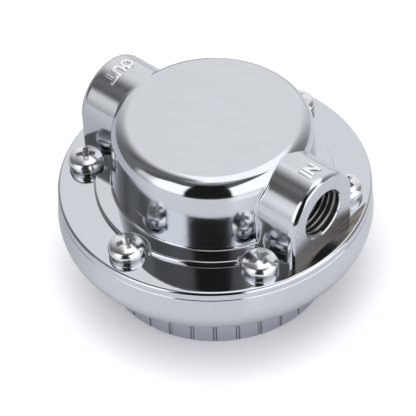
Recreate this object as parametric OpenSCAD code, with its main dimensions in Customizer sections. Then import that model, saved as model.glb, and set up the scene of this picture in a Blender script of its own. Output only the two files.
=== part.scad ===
// Dial-type fuel pressure regulator that stands on its dial, fuel side up.
// Millimetres. Z = 0 is the dial's face, X runs along the two ports, the inlet on +X.

/* [Body] */
// Height of the seam between the two housings above the dial's face
seam_z = 25.25; // [20:0.05:32]
// Outer radius of both housings at the seam
seam_r = 38; // [30:0.1:46]
// Thickness of the top housing's flange
flange_h = 2.2; // [1.6:0.1:4]
// Rounding of the flange's upper edge
flange_round = 0.8; // [0.2:0.1:1]
// Chamfer on each side of the seam, which draws it as a fine line
seam_chamfer = 0.15; // [0.05:0.05:0.4]
// Width of flat flange between the seam's edge and the stepped plinth
plinth_inset = 8.8; // [6:0.1:11]
// Height of the plinth above the flange
plinth_h = 1.05; // [0.8:0.05:2]
// Rounding of the plinth's upper edge
plinth_round = 0.7; // [0.1:0.1:0.8]
// Distance from the seam's edge in to the foot of the turret
turret_inset = 13.2; // [11:0.1:17]
// Draft of the turret's wall in degrees
turret_draft = 2.5; // [0:0.5:5]
// Height of the turret's flat top above the dial's face
turret_top_z = 47.65; // [40:0.05:56]
// Rounding of the turret's top edge
turret_round = 4.7; // [2:0.1:8]
// Rounding in the corner between turret and plinth
foot_round = 0.6; // [0.2:0.1:1.5]

/* [Ports] */
// Depth of the port axis below the turret's flat top
port_drop = 11.2; // [10:0.1:13]
// Distance of each port's face in from the seam's edge
port_inset = 4.6; // [3:0.1:8]
// Half width of a port boss, also the radius of its arch
boss_r = 10.9; // [9:0.1:12]
// Radius of the boss's round edge
boss_round = 2.4; // [1.6:0.1:4]
// How much of that edge is left behind the machined face
boss_edge = 1.6; // [0.4:0.1:1.6]
// Diameter of the port's bore at the pitch line of its pipe thread
port_d = 12.5; // [11:0.1:14]
// Depth of the threaded bore
port_depth = 11.6; // [9:0.1:12]
// Chamfer at the port's mouth
port_chamfer = 0.25; // [0.2:0.05:1]
// Diameter of the drilling from the inlet to the valve
inlet_drill_d = 7.2; // [4:0.1:9]
// Diameter of the opening from the outlet into the turret
outlet_drill_d = 10.8; // [6:0.1:12]

/* [Cover screws] */
// Distance of the screws' circle in from the seam's edge
screw_inset = 6.3; // [5.5:0.1:7.5]
// Diameter of a screw's head
head_d = 8.8; // [7:0.1:9.6]
// Height of a screw's head
head_h = 3.9; // [2:0.1:4]
// Radius of the head's round rim
head_rim = 1.75; // [1:0.05:1.9]
// Radius of the flat dome on the head
head_dome = 9; // [7:0.5:14]
// Diameter of a screw's thread
screw_d = 4.8; // [4:0.1:5]
// Length of a screw under its head
screw_len = 12; // [9:0.5:12.5]
// Width of the cross recess
cross_w = 1.15; // [0.8:0.05:1.5]
// Reach of the cross recess from the screw's axis
cross_r = 2.35; // [1.8:0.05:3]
// Depth of the cross recess
cross_h = 2.1; // [1.2:0.1:2.4]
// Radius of the relief cut into the plinth round each screw
relief_r = 5.05; // [4.6:0.05:5.2]

/* [Bowl] */
// Height of the bowl's flat underside above the dial's face
bowl_z = 11.52; // [9:0.02:14]
// Radius of the bowl's round side
bowl_round = 8.34; // [6:0.02:10]
// How far the round side stands out past the seam
bowl_bulge = 0.47; // [0.1:0.01:1]
// Thickness of the bowl's floor
bowl_floor_h = 2.18; // [1.8:0.02:3]
// Thickness of the bowl's ring between the spring chamber and the seam's edge
chamber_inset = 13.5; // [12:0.1:16]

/* [Dial] */
// Distance of the dial's wall in from the seam's edge
dial_inset = 9.7; // [8:0.1:13]
// Height of the dial
dial_h = 10.7; // [8:0.1:11]
// Number of flutes in the dial's wall
flutes = 32; // [16:1:48]
// Radius of one flute
flute_r = 0.55; // [0.3:0.05:1]
// Depth of one flute
flute_depth = 0.42; // [0.2:0.02:0.6]
// Angle of the first flute
flute_turn = -5.8; // [-12:0.1:12]
// Thickness of the wall of the dial's hub
hub_wall = 2.7; // [2:0.1:3.5]
// Height of the hub above the clip that holds it
hub_tip_h = 0.53; // [0.3:0.01:1]
// Thickness of the dial's floor inside the hub
dial_floor_h = 2.6; // [2:0.1:4]
// Depth of the scale ring sunk into the dial's face
scale_depth = 0.8; // [0.4:0.1:1.2]
// Width of the scale ring
scale_w = 13.6; // [9:0.1:15]
// Width of the flat rim outside the scale ring
scale_rim = 3.7; // [2:0.1:6]
// Turn of the dial from the lowest setting to the highest, in degrees
dial_turn = 320; // [200:5:320]
// Turn of the dial between two settings, in degrees
click_turn = 40; // [20:5:60]

/* [Valve and diaphragm] */
// Thickness of the diaphragm
diaphragm_h = 0.85; // [0.6:0.05:1.5]
// Distance of the diaphragm's edge in from the seam's edge
diaphragm_inset = 2; // [1.5:0.1:4]
// Radius of the outer surface of the diaphragm's roll
roll_out = 2.5; // [1.8:0.1:2.6]
// Gap between the roll and the edge of the two plates
plate_gap = 1.5; // [0.8:0.1:3]
// Thickness of each plate
plate_h = 1; // [0.6:0.1:1.6]
// Lift of the poppet off its seat at rest
valve_lift = 1.5; // [0.8:0.1:2]
// Height of the valve seat's lip above the foot of the valve tower
lip_h = 3.1; // [2.6:0.1:3.6]
// Radius of the valve tower's well
well_r = 6.6; // [6:0.1:7.5]
// Thickness of the turret's roof over the well
well_roof = 3.4; // [2:0.1:4]

/* [Springs] */
// Gap between the main spring and the wall of its cup
main_spring_gap = 2.2; // [0.5:0.1:3]
// Radius of the main spring's wire
main_wire_r = 1; // [0.6:0.05:1.2]
// Number of turns of the main spring
main_turns = 6; // [4:0.5:7]
// Radius of the poppet spring's wire centre line
poppet_spring_r = 3.1; // [2.7:0.1:4]
// Radius of the poppet spring's wire
poppet_wire_r = 0.3; // [0.2:0.05:0.5]
// Number of turns of the poppet spring
poppet_turns = 5; // [3:0.5:7]

/* [Fits] */
// Radial clearance of a running fit
running = 0.05; // [0.01:0.01:0.1]
// Clearance between pieces that pass each other
pass = 0.3; // [0.2:0.05:0.5]

/* [Hidden] */
$fn = 96;
e = 1;

far = 60;
port_z = turret_top_z - port_drop;

// Radii that follow the seam.
plinth_r = seam_r - plinth_inset;
turret_foot_r = seam_r - turret_inset;
port_face_x = seam_r - port_inset;
screw_pcd_r = seam_r - screw_inset;
bowl_foot_r = seam_r + bowl_bulge - bowl_round;
chamber_r = seam_r - chamber_inset;
dial_r = seam_r - dial_inset;
diaphragm_r = seam_r - diaphragm_inset;

flange_z = seam_z + flange_h;
plinth_z = flange_z + plinth_h;
head_r = head_d / 2;
screw_r = screw_d / 2;
screw_gap = 0.2;
port_r = port_d / 2;
side_turn = max(30, asin((boss_r + relief_r - 0.1) / screw_pcd_r));
screw_turns = [side_turn - 180, -90, -side_turn, side_turn, 90, 180 - side_turn];
cross_turns = [20, 52, 8, 33, 71, 40];
cross_core = cross_w * 0.86;
cross_tip_r = cross_w * 0.6;
cross_mouth_r = cross_r * 1.1;

// Screw head: the dome runs onto the round rim.
rim_mid_r = head_r - head_rim;
dome_low = head_h - head_dome;
rim_z = dome_low + sqrt(pow(head_dome - head_rim, 2) - pow(rim_mid_r, 2));
dome_tip_r = rim_mid_r * head_dome / (head_dome - head_rim);

// Boss: the round edge starts here, and the face cuts it off.
boss_edge_x = port_face_x - boss_edge;
boss_mid_r = boss_r - boss_round;

// Turret: the round edge touches the drafted wall and the flat top.
arc_z = turret_top_z - turret_round;
arc_r = turret_foot_r - (arc_z - plinth_z) * tan(turret_draft)
    - turret_round / cos(turret_draft);
arc_tip_r = arc_r + turret_round * cos(turret_draft);
arc_tip_z = arc_z + turret_round * sin(turret_draft);

// Bowl: the straight wall runs from the seam onto the round side.
bowl_c_z = bowl_z + bowl_round;
seam_far = sqrt(pow(seam_r - bowl_foot_r, 2) + pow(seam_z - bowl_c_z, 2));
bowl_turn = atan2(seam_z - bowl_c_z, seam_r - bowl_foot_r) - acos(bowl_round / seam_far);
bowl_tip_r = bowl_foot_r + bowl_round * cos(bowl_turn);
bowl_tip_z = bowl_c_z + bowl_round * sin(bowl_turn);
floor_z = bowl_z + bowl_floor_h;

// Diaphragm stack, from the clamped sheet outwards.
sheet_z = seam_z - diaphragm_h;
sheet_seat_r = diaphragm_r + 0.2;
roll_r = chamber_r - roll_out - 0.4;
roll_rise = 0.5;
plate_r = roll_r - roll_out - plate_gap;
plate_edge = plate_h * 0.3;
upper_z = seam_z + plate_h;
lower_z = sheet_z - plate_h;
rivet_r = 2.5;
rivet_head_r = 5;
rivet_head_h = 1.75;
rivet_foot_r = 4.6;
rivet_foot_h = 1.2;
rivet_top_z = upper_z + rivet_head_h;
rivet_low_z = lower_z - rivet_foot_h;

// Fuel chamber, hollow turret and valve tower.
turret_wall = 3.8;
fuel_r = chamber_r + 0.5;
fuel_z = upper_z + 0.35;
hollow_r = turret_foot_r - turret_wall;
hollow_z = turret_top_z - 4.2;
well_top_z = turret_top_z - well_roof;
tower_r = well_r + 2.9;
tower_z = rivet_top_z + 2.4;
inlet_r = inlet_drill_d / 2;
outlet_r = outlet_drill_d / 2;
bridge_r = inlet_r + 2.2;

// Valve.
lip_z = tower_z + lip_h;
lip_rim = 0.9;
hex_rim = 1.8;
hex_r = well_r + hex_rim;
hex_h = 1.5;
orifice_r = 2.4;
stem_r = 1.3;
disc_z = lip_z + valve_lift;
disc_h = 1.5;
disc_r = 4.2;
poppet_z = disc_z + 0.4;
valve_room = well_top_z - disc_z;
poppet_top_z = disc_z + valve_room * 4 / 9;
poppet_r = well_r - pass;
poppet_flat = disc_r + 0.5;
spigot_top_z = poppet_top_z + valve_room * 2 / 9;
spigot_top_r = poppet_spring_r - poppet_wire_r - 0.4;
seat_body_r = well_r - running;
ring_r = 0.5;
ring_groove_r = well_r - 2 * ring_r - 2 * running;
ring_mid_r = (well_r + ring_groove_r) / 2;
ring_z = tower_z + 1.5;

// Dial, hub and adjusting screw.
dial_edge = 0.6;
hub_r = min(chamber_r - 4.5, dial_r - 8.3);
hub_inner_r = hub_r - hub_wall;
scale_out_r = dial_r - scale_rim;
scale_in_r = scale_out_r - scale_w;
stud_r = 4;
stud_tip = 0.6;
stud_flange_h = 1.5;
stud_flange_r = 6;
spigot_r = 3;
spigot_z = 1;
socket_z = 0.8;
washer_h = 0.5;
washer_w = 3.6;
washer_z = floor_z + running;
clip_z = washer_z + washer_h + running;
clip_h = 0.8;
clip_w = 2.4;
clip_gap_turn = 25;
clip_groove_r = hub_r - 1;
hub_top_z = clip_z + clip_h + running + hub_tip_h;
detent_h = 0.35;
detent_z = bowl_z - running - detent_h;
detent_in_r = hub_r + 0.6;
detent_out_r = hub_r + 3.4;
bump_mid_r = hub_r + 2;
bump_r = 1.6;
bump_drop = 0.67;
bump_z = detent_z - bump_drop + bump_r;
bump_gap = 0.2;
tab_w = 3;
tab_h = 1.6;
tab_t = 0.6;
tab_r = hub_r + 2.6;
tab_gap = 0.2;
tab_turn = 200;
stop_r = 1.2;
stop_mid_r = dial_r - 3.1;
stop_turn = 60;
stop_in_h = 1.6;
stop_tip_z = dial_h - 1.2;
stop_groove_z = stop_tip_z - pass;
stop_end = (stop_r + pass) / stop_mid_r * 180 / PI;
tight = 0.01;

// Spring seat.
cup_r = hub_inner_r - 0.4;
cup_in_r = cup_r - 1.4;
cup_z = dial_floor_h + stud_flange_h + 0.5;
cup_floor_h = 1.4;
lug_z = hub_top_z + pass;
lug_h = 1.6;
lug_w = 4;
lug_r = chamber_r + 1.8;
nut_wall = 3;
nut_h = 7.4;
nut_r = stud_r + nut_wall;
nut_top_z = cup_z + nut_h;
seat_travel = 2.4;
stud_top_z = nut_top_z + seat_travel - 0.4;
lug_turns = [0, 120, 240];
main_spring_r = cup_in_r - main_spring_gap - main_wire_r;
pilot_r = main_spring_r - main_wire_r - 0.4;
pilot_w = 1;
pilot_h = 1.5;

// Rounded inner corner for a lathe profile, at the origin, filling toward +x and +y.
module corner(r) {
    difference() {
        square(r);
        translate([r, r]) circle(r);
    }
}

// One lathe profile with a rounded upper outer edge.
module round_disc(r, low, high, edge) {
    rotate_extrude() {
        translate([0, low]) square([r - edge, high - low]);
        translate([0, low]) square([r, high - low - edge]);
        translate([r - edge, high - edge]) circle(edge);
    }
}

module ring(r_in, r_out, low, high) {
    rotate_extrude() translate([r_in, low]) square([r_out - r_in, high - low]);
}

module at_screws() {
    for (a = screw_turns) rotate(a) translate([screw_pcd_r, 0]) children();
}

// Wire of round section wound as a helix, with its last quarter turns lying flat.
function wind(t, turns) = let (f = t / turns, s = 0.75 / turns)
    f < s ? 0 : f > 1 - s ? 1 : (f - s) / (1 - 2 * s);

module coil(r, wire, low, high, turns, steps, sides) {
    n = round(turns * steps);
    run = high - low - 2 * wire;
    points = [for (i = [0 : n]) let (a = 360 * i / steps, h = low + wire + run * wind(i / steps, turns))
        for (k = [0 : sides - 1]) let (b = 360 * k / sides, d = r + wire * cos(b))
            [d * cos(a), d * sin(a), h + wire * sin(b)]];
    walls = [for (i = [0 : n - 1], k = [0 : sides - 1]) let (m = (k + 1) % sides)
        [i * sides + k, i * sides + m, (i + 1) * sides + m, (i + 1) * sides + k]];
    ends = [[for (k = [0 : sides - 1]) sides - 1 - k], [for (k = [0 : sides - 1]) n * sides + k]];
    polyhedron(points, concat(ends, walls));
}

module flange_body() {
    rotate_extrude() {
        translate([0, seam_z]) square([seam_r - seam_chamfer, flange_h - flange_round]);
        translate([0, seam_z + seam_chamfer]) square([seam_r, flange_h - flange_round - seam_chamfer]);
        translate([0, seam_z + e]) square([seam_r - flange_round, flange_h - e]);
        translate([seam_r - flange_round, flange_z - flange_round]) circle(flange_round);
        polygon([[0, seam_z], [seam_r - seam_chamfer, seam_z], [seam_r, seam_z + seam_chamfer],
            [0, seam_z + seam_chamfer]]);
    }
}

// Plinth with a relief round each screw head.
module plinth_body() {
    difference() {
        round_disc(plinth_r, seam_z + e, plinth_z, plinth_round);
        at_screws() translate([0, 0, seam_z]) cylinder(r = relief_r, h = far);
    }
}

module turret_body() {
    rotate_extrude() {
        polygon([[0, flange_z - e], [turret_foot_r, flange_z - e], [turret_foot_r, plinth_z],
            [arc_tip_r, arc_tip_z], [arc_r, arc_z], [arc_r, turret_top_z], [0, turret_top_z]]);
        translate([arc_r, arc_z]) circle(turret_round);
        translate([turret_foot_r - 0.05, plinth_z - 0.01]) corner(foot_round);
    }
}

// Flat outline of a boss: straight sides with round edges that the machined face cuts off.
module boss_outline() {
    intersection() {
        union() {
            translate([0, -boss_r]) square([boss_edge_x, 2 * boss_r]);
            translate([0, -boss_mid_r]) square([port_face_x, 2 * boss_mid_r]);
            for (s = [-1, 1]) translate([boss_edge_x, s * boss_mid_r]) circle(boss_round);
        }
        translate([0, -far / 2]) square([port_face_x, far]);
    }
}

// A port boss on +X: an arch about the port axis on straight sides down to the flange.
module boss_body() {
    translate([0, 0, flange_z - e]) linear_extrude(port_z - flange_z + e) boss_outline();
    translate([0, 0, port_z]) rotate([0, 90, 0]) rotate_extrude() intersection() {
        union() {
            square([boss_r, boss_edge_x]);
            square([boss_mid_r, port_face_x]);
            translate([boss_mid_r, boss_edge_x]) circle(boss_round);
        }
        square([far, port_face_x]);
    }
}

// A threaded bore from the face of the +X boss, with a chamfered mouth.
module port_bore() {
    translate([port_face_x - port_depth, 0, port_z]) rotate([0, 90, 0]) {
        cylinder(r = port_r, h = port_depth + e);
        translate([0, 0, port_depth - port_chamfer])
            cylinder(r1 = port_r, r2 = port_r + port_chamfer + e, h = port_chamfer + e);
    }
}

module top_housing() {
    color([0.83, 0.84, 0.86])
    difference() {
        union() {
            difference() {
                union() {
                    flange_body();
                    plinth_body();
                    turret_body();
                    for (a = [0, 180]) rotate(a) boss_body();
                }
                translate([0, 0, seam_z - e]) cylinder(r = fuel_r, h = fuel_z - seam_z + e);
                translate([0, 0, seam_z]) cylinder(r = hollow_r, h = hollow_z - seam_z);
            }
            translate([0, 0, tower_z]) cylinder(r = tower_r, h = hollow_z + e - tower_z);
            translate([0, 0, port_z]) rotate([0, 90, 0]) cylinder(r = bridge_r, h = hollow_r + 0.8);
        }
        translate([0, 0, tower_z - e]) cylinder(r = well_r, h = well_top_z - tower_z + e);
        translate([0, 0, port_z]) rotate([0, 90, 0]) cylinder(r = inlet_r, h = port_face_x - port_depth + e);
        for (a = [0, 180]) rotate(a) port_bore();
        translate([port_depth - port_face_x - e, 0, port_z]) rotate([0, 90, 0])
            cylinder(r = outlet_r, h = turret_wall + 2 * e);
        at_screws() translate([0, 0, seam_z - e]) cylinder(r = screw_r + screw_gap, h = flange_h + 2 * e);
    }
}

module lower_housing() {
    color([0.80, 0.81, 0.84])
    difference() {
        rotate_extrude() {
            polygon([[0, bowl_z], [bowl_foot_r, bowl_z], [bowl_foot_r, bowl_c_z], [bowl_tip_r, bowl_tip_z],
                [seam_r, seam_z - seam_chamfer], [seam_r - seam_chamfer, seam_z], [0, seam_z]]);
            translate([bowl_foot_r, bowl_c_z]) circle(bowl_round);
        }
        translate([0, 0, seam_z]) cylinder(r = far, h = far);
        translate([0, 0, sheet_z]) cylinder(r = sheet_seat_r, h = far);
        translate([0, 0, floor_z]) cylinder(r = chamber_r, h = far);
        translate([0, 0, bowl_z - e]) cylinder(r = hub_r + running, h = far);
        for (a = lug_turns) rotate(a)
            translate([hub_r, -lug_w / 2 - pass / 2, floor_z + e])
                cube([lug_r + pass - hub_r, lug_w + pass, far]);
        at_screws() translate([0, 0, flange_z - screw_len - e]) cylinder(r = screw_r + running, h = far);
        rotate(stop_turn) translate([stop_mid_r, 0, bowl_z - e])
            cylinder(r = stop_r + tight, h = e + stop_in_h);
        rotate(tab_turn) translate([tab_r - tab_gap, -tab_w / 2 - tab_gap, bowl_z - e])
            cube([tab_t + 2 * tab_gap, tab_w + 2 * tab_gap, e + tab_h]);
    }
}

// Cross recess: a cross that a cone narrows towards its bottom.
module cross_recess() {
    intersection() {
        union() {
            translate([-cross_r, -cross_w / 2, -cross_h]) cube([2 * cross_r, cross_w, cross_h + e]);
            translate([-cross_w / 2, -cross_r, -cross_h]) cube([cross_w, 2 * cross_r, cross_h + e]);
            translate([0, 0, -cross_h]) cylinder(r = cross_core, h = cross_h + e);
        }
        translate([0, 0, -cross_h]) cylinder(r1 = cross_tip_r, r2 = cross_mouth_r, h = cross_h + e);
    }
}

module cover_screw(turn) {
    difference() {
        union() {
            translate([0, 0, flange_z - screw_len]) cylinder(r = screw_r, h = screw_len + head_h / 4);
            translate([0, 0, flange_z]) rotate_extrude() intersection() {
                union() {
                    intersection() {
                        translate([0, dome_low]) circle(head_dome);
                        square([dome_tip_r, far]);
                    }
                    translate([rim_mid_r, rim_z]) circle(head_rim);
                }
                square([head_r + e, far]);
            }
        }
        translate([0, 0, flange_z + head_h]) rotate(turn) cross_recess();
    }
}

module cover_screws() {
    color([0.86, 0.87, 0.88])
    for (i = [0 : 5]) rotate(screw_turns[i]) translate([screw_pcd_r, 0]) cover_screw(cross_turns[i]);
}

// Dial with fluted wall, hub, sunk scale ring, detent dimples and the groove for the stop pin.
module dial() {
    color([0.60, 0.61, 0.65])
    difference() {
        union() {
            rotate_extrude() {
                square([dial_r - dial_edge, dial_h]);
                translate([0, dial_edge]) square([dial_r, dial_h - 2 * dial_edge]);
                for (h = [dial_edge, dial_h - dial_edge])
                    translate([dial_r - dial_edge, h]) circle(dial_edge);
            }
            cylinder(r = hub_r, h = hub_top_z);
        }
        for (i = [0 : flutes - 1]) rotate(flute_turn + 360 * i / flutes)
            translate([dial_r + flute_r - flute_depth, 0, -e])
                cylinder(r = flute_r, h = dial_h + 2 * e, $fn = 24);
        ring(scale_in_r, scale_out_r, -e, scale_depth);
        translate([0, 0, dial_floor_h]) cylinder(r = hub_inner_r, h = far);
        translate([0, 0, socket_z]) cylinder(r = spigot_r + tight, h = far);
        ring(clip_groove_r, hub_r + e, clip_z - running, clip_z + clip_h + running);
        for (a = [0 : click_turn : 359]) rotate(a)
            translate([bump_mid_r, 0, bump_z]) sphere(bump_r + bump_gap);
        rotate(stop_turn - dial_turn - stop_end) rotate_extrude(angle = dial_turn + 2 * stop_end)
            translate([stop_mid_r - stop_r - pass, stop_groove_z]) square([2 * (stop_r + pass), far]);
    }
}

module adjusting_screw() {
    color([0.62, 0.63, 0.65])
    union() {
        translate([0, 0, spigot_z]) cylinder(r = spigot_r, h = dial_floor_h);
        translate([0, 0, dial_floor_h]) cylinder(r = stud_flange_r, h = stud_flange_h);
        translate([0, 0, dial_floor_h]) cylinder(r = stud_r, h = stud_top_z - dial_floor_h - stud_tip);
        translate([0, 0, stud_top_z - stud_tip]) cylinder(r1 = stud_r, r2 = stud_r - stud_tip, h = stud_tip);
    }
}

module dial_clip() {
    color([0.32, 0.33, 0.35])
    rotate(clip_gap_turn / 2) rotate_extrude(angle = 360 - clip_gap_turn)
        translate([clip_groove_r + running, clip_z]) square([clip_w, clip_h]);
}

module thrust_washer() {
    color([0.70, 0.70, 0.72]) ring(hub_r + pass, hub_r + pass + washer_w, washer_z, washer_z + washer_h);
}

module detent_washer() {
    color([0.45, 0.46, 0.50])
    union() {
        ring(detent_in_r, detent_out_r, detent_z, detent_z + detent_h);
        for (a = [0, 120, 240]) rotate(a) intersection() {
            translate([bump_mid_r, 0, bump_z]) sphere(bump_r);
            translate([bump_mid_r - bump_r, -bump_r, detent_z - bump_r])
                cube([2 * bump_r, 2 * bump_r, bump_r + detent_h / 2]);
        }
        rotate(tab_turn) translate([tab_r, -tab_w / 2, detent_z + detent_h / 2]) cube([tab_t, tab_w, tab_h]);
    }
}

module stop_pin() {
    color([0.68, 0.69, 0.71])
    rotate(stop_turn) translate([stop_mid_r, 0, stop_tip_z])
        cylinder(r = stop_r, h = bowl_z + stop_in_h - tight - stop_tip_z);
}

// Cup and nut that climbs the adjusting screw, held from turning by three lugs.
module spring_seat() {
    color([0.72, 0.70, 0.62])
    difference() {
        union() {
            ring(cup_in_r, cup_r, cup_z, lug_z + lug_h);
            translate([0, 0, cup_z]) cylinder(r = cup_r, h = cup_floor_h);
            translate([0, 0, cup_z]) cylinder(r = nut_r, h = nut_top_z - cup_z);
            for (a = lug_turns) rotate(a)
                translate([cup_r - e, -lug_w / 2, lug_z]) cube([lug_r - cup_r + e, lug_w, lug_h]);
        }
        translate([0, 0, cup_z - e]) cylinder(r = stud_r + running, h = far);
    }
}

module main_spring() {
    color([0.66, 0.67, 0.70])
    coil(main_spring_r, main_wire_r, cup_z + cup_floor_h, lower_z, main_turns, 24, 10);
}

module diaphragm() {
    color([0.12, 0.12, 0.13])
    difference() {
        rotate_extrude() {
            translate([rivet_r + running, sheet_z])
                square([roll_r - roll_out + diaphragm_h / 2 - rivet_r - running, diaphragm_h]);
            translate([roll_r + roll_out - diaphragm_h / 2, sheet_z])
                square([diaphragm_r - roll_r - roll_out + diaphragm_h / 2, diaphragm_h]);
            difference() {
                translate([roll_r, sheet_z + roll_rise]) circle(roll_out);
                translate([roll_r, sheet_z + roll_rise]) circle(roll_out - diaphragm_h);
                translate([roll_r - 2 * roll_out, sheet_z + roll_rise]) square([4 * roll_out, far]);
            }
        }
        at_screws() translate([0, 0, sheet_z - e]) cylinder(r = screw_r + screw_gap, h = diaphragm_h + 2 * e);
    }
}

module upper_plate() {
    color([0.74, 0.74, 0.76])
    difference() {
        round_disc(plate_r, seam_z, upper_z, plate_edge);
        translate([0, 0, seam_z - e]) cylinder(r = rivet_r + running, h = far);
    }
}

module lower_plate() {
    color([0.74, 0.74, 0.76])
    union() {
        ring(rivet_r + running, plate_r, lower_z, sheet_z);
        ring(pilot_r - pilot_w, pilot_r, lower_z - pilot_h, lower_z + plate_h / 2);
    }
}

module centre_rivet() {
    color([0.70, 0.70, 0.72])
    union() {
        translate([0, 0, rivet_low_z]) cylinder(r = rivet_r, h = rivet_top_z - rivet_low_z);
        round_disc(rivet_head_r, upper_z, rivet_top_z, rivet_head_h / 3);
        translate([0, 0, rivet_low_z]) cylinder(r1 = rivet_foot_r - 1, r2 = rivet_foot_r, h = rivet_foot_h);
    }
}

// Seat insert: hexagon below the tower, body in the well, raised lip round the orifice.
module valve_seat() {
    color([0.80, 0.66, 0.34])
    difference() {
        union() {
            translate([0, 0, tower_z - hex_h]) cylinder(r = hex_r, h = hex_h, $fn = 6);
            translate([0, 0, tower_z - hex_h / 2]) cylinder(r = seat_body_r, h = lip_h + hex_h / 2 - 0.5);
            translate([0, 0, tower_z]) cylinder(r = orifice_r + lip_rim, h = lip_h);
        }
        translate([0, 0, tower_z - hex_h - e]) cylinder(r = orifice_r, h = far);
        ring(ring_groove_r, well_r + e, ring_z - ring_r - running, ring_z + ring_r + running);
    }
}

module seat_ring() {
    color([0.10, 0.10, 0.10])
    rotate_extrude() translate([ring_mid_r, ring_z]) circle(ring_r, $fn = 48);
}

// Poppet with three flats that let the fuel past, a stem and a spigot for its spring.
module poppet() {
    color([0.80, 0.66, 0.34])
    difference() {
        union() {
            difference() {
                translate([0, 0, poppet_z]) cylinder(r = poppet_r, h = poppet_top_z - poppet_z);
                for (a = [60, 180, 300]) rotate(a) translate([poppet_flat, -far / 2, poppet_z - e]) cube(far);
            }
            translate([0, 0, rivet_top_z]) cylinder(r = stem_r, h = poppet_top_z - e - rivet_top_z);
            translate([0, 0, poppet_top_z - e])
                cylinder(r = spigot_top_r, h = spigot_top_z - poppet_top_z + e);
        }
        ring(stem_r, disc_r + running, poppet_z - e, disc_z + disc_h);
    }
}

module valve_disc() {
    color([0.13, 0.13, 0.14]) ring(stem_r + running, disc_r, disc_z, disc_z + disc_h);
}

module poppet_spring() {
    color([0.66, 0.67, 0.70])
    coil(poppet_spring_r, poppet_wire_r, poppet_top_z, well_top_z, poppet_turns, 20, 8);
}

top_housing();
lower_housing();
cover_screws();
dial();
diaphragm();
upper_plate();
lower_plate();
centre_rivet();
valve_seat();
seat_ring();
poppet();
valve_disc();
poppet_spring();
main_spring();
spring_seat();
adjusting_screw();
dial_clip();
thrust_washer();
detent_washer();
stop_pin();
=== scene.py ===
# %% [markdown]
# # A dial-type fuel pressure regulator on a white table
# The regulator is a chromed die casting that stands on its dial. The CAD model is loaded first
# and stays fixed: it gives every place and size. This lesson adds what the camera sees on top of
# it: the finishes, the cover screws, the pipe threads, the cast letters and the scale.

# %% load the fixed frame
import math
import bmesh
import bpy
import numpy as np
from mathutils import Matrix, Vector


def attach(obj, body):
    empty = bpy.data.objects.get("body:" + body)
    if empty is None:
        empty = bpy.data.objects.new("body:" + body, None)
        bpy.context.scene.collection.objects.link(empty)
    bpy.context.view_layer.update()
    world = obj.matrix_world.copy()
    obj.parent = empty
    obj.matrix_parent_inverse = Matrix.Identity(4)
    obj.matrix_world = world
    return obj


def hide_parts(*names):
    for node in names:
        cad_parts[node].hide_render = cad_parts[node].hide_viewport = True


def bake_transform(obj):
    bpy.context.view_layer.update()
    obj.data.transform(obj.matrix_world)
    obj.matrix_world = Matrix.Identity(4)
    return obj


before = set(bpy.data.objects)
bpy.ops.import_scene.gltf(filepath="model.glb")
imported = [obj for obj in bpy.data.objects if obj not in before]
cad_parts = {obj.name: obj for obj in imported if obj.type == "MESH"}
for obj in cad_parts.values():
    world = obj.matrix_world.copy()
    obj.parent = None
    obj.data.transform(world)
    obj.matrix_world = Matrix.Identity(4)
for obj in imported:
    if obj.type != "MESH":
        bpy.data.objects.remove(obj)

MM = 0.001
scene = bpy.context.scene
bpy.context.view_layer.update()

# %% [markdown]
# ## Camera
# A product picture is taken from far away with a long lens, so the round parts hardly taper.
# A camera could be aimed with a constraint, but writing its three axes keeps the small roll of
# the picture exact. The shift places the part a little right of and above the middle.

# %% camera
PICTURE_PX = 416
FOCAL_PX = 2271.0
SHIFT_PX = (-7.0, -22.9)
SENSOR_MM = 36.0
VIEW_TURN, VIEW_RISE, VIEW_ROLL = (math.radians(a) for a in (42.14, 44.70, -2.34))
VIEW_FAR = 0.55
AIM = Vector((0, 0, 25.25 * MM))


def linked(name, data):
    """New object with this data, linked to the scene."""
    thing = bpy.data.objects.new(name, data)
    scene.collection.objects.link(thing)
    return thing


back = Vector((math.sin(VIEW_TURN) * math.cos(VIEW_RISE),
               -math.cos(VIEW_TURN) * math.cos(VIEW_RISE), math.sin(VIEW_RISE)))
level = Vector((math.cos(VIEW_TURN), math.sin(VIEW_TURN), 0))
rise = back.cross(level)
right = level * math.cos(VIEW_ROLL) + rise * math.sin(VIEW_ROLL)
upright = back.cross(right)

lens = bpy.data.cameras.new("studio_camera")
lens.sensor_fit, lens.sensor_width = "HORIZONTAL", SENSOR_MM
lens.lens = SENSOR_MM * FOCAL_PX / PICTURE_PX
lens.shift_x, lens.shift_y = (px / PICTURE_PX for px in SHIFT_PX)
lens.clip_start, lens.clip_end = 0.01, 50.0
camera = linked("studio_camera", lens)
camera.matrix_world = Matrix.Translation(AIM + back * VIEW_FAR) @ Matrix(
    (right, upright, back)).transposed().to_4x4()
scene.camera = camera
scene.view_settings.view_transform = "Standard"
print("lens", round(lens.lens, 1), "mm")

# %% [markdown]
# ## Node helpers
# Every finish below is a small network of nodes. A few helpers keep the cells short. One adds a
# node and fills its sockets, where a value may also be another node's output. The others make a
# chain of maths read like a formula. An output knows the tree that it belongs to, so they ask it.


# %% node helpers
def add(tree, kind, out=0, props=None, **sockets):
    """Adds a node, fills sockets named s0, s1 ... or by name, and returns the output asked for."""
    node = tree.nodes.new(kind)
    for key, value in (props or {}).items():
        setattr(node, key, value)
    for key, value in sockets.items():
        socket = node.inputs[int(key[1:])] if key[1:].isdigit() else node.inputs[key]
        if isinstance(value, bpy.types.NodeSocket):
            tree.links.new(value, socket)
        else:
            socket.default_value = value
    return node.outputs[out]


def maths(operation, *values):
    """One Math node on numbers and at least one output."""
    tree = next(v.id_data for v in values if isinstance(v, bpy.types.NodeSocket))
    return add(tree, "ShaderNodeMath", props={"operation": operation},
               **{f"s{i}": v for i, v in enumerate(values)})


def both(*masks):
    """Product of masks."""
    product = masks[0]
    for mask in masks[1:]:
        product = maths("MULTIPLY", product, mask)
    return product


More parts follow.
